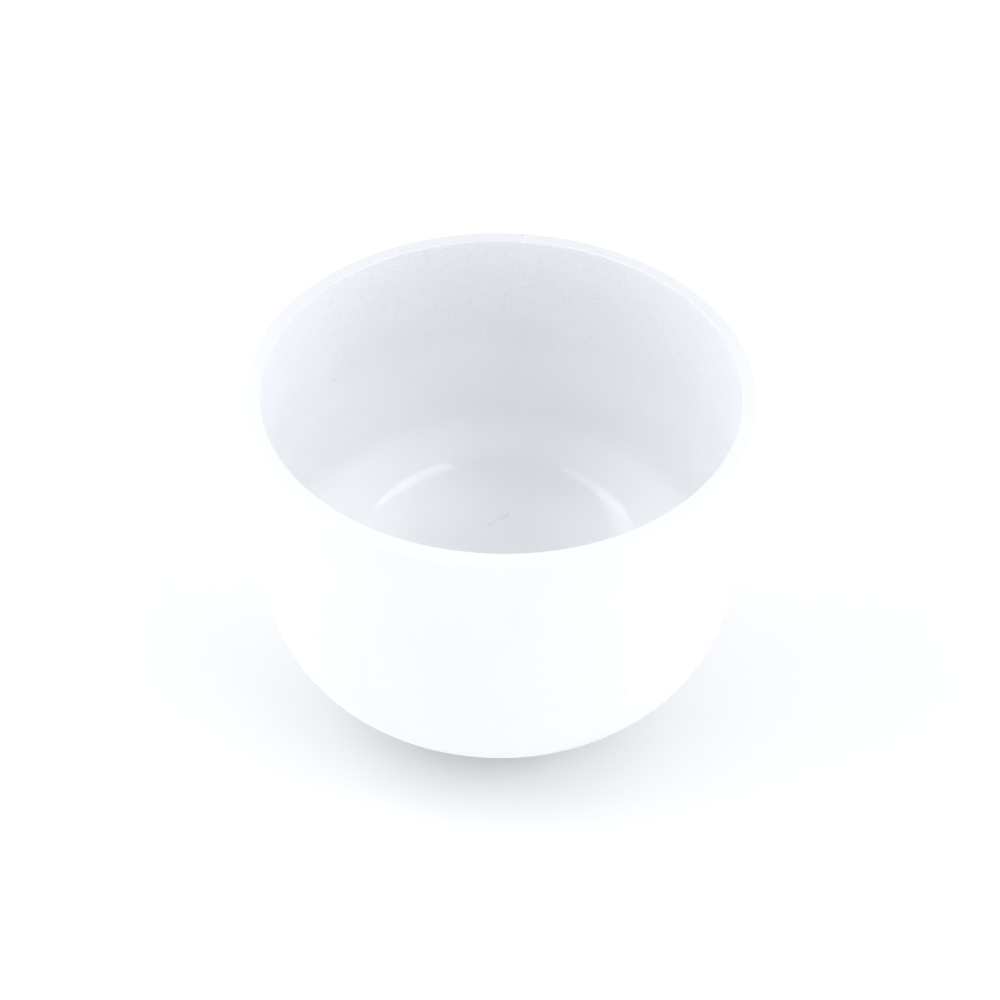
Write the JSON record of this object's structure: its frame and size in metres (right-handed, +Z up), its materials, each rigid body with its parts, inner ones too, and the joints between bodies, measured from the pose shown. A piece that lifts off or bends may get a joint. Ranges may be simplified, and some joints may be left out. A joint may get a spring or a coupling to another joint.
{
  "type": "singing bowl",
  "caption": "Frosted quartz singing bowl with a straight, slightly tapered wall, a ground lip and a thicker, rounded base, standing on a rubber seat ring that it lifts off.",
  "frame": {"origin": "on the bowl's axis, at the level of the seat ring's flat foot", "axes": "+Z up along the bowl's axis; the part is round, so X and Y are any two level directions"},
  "size_m": [0.203, 0.203, 0.1541],
  "materials": {
    "frosted_quartz": "matte",
    "ring_rubber": "matte"
  },
  "bodies": {
    "seat": {"seat_ring": "ring_rubber"},
    "bowl": {"bowl": "frosted_quartz"}
  },
  "joints": [
    {"name": "bowl_lift", "type": "slide", "parent": "seat", "child": "bowl", "axis": [0, 0, 1], "range_m": [0, 0.08]}
  ]
}
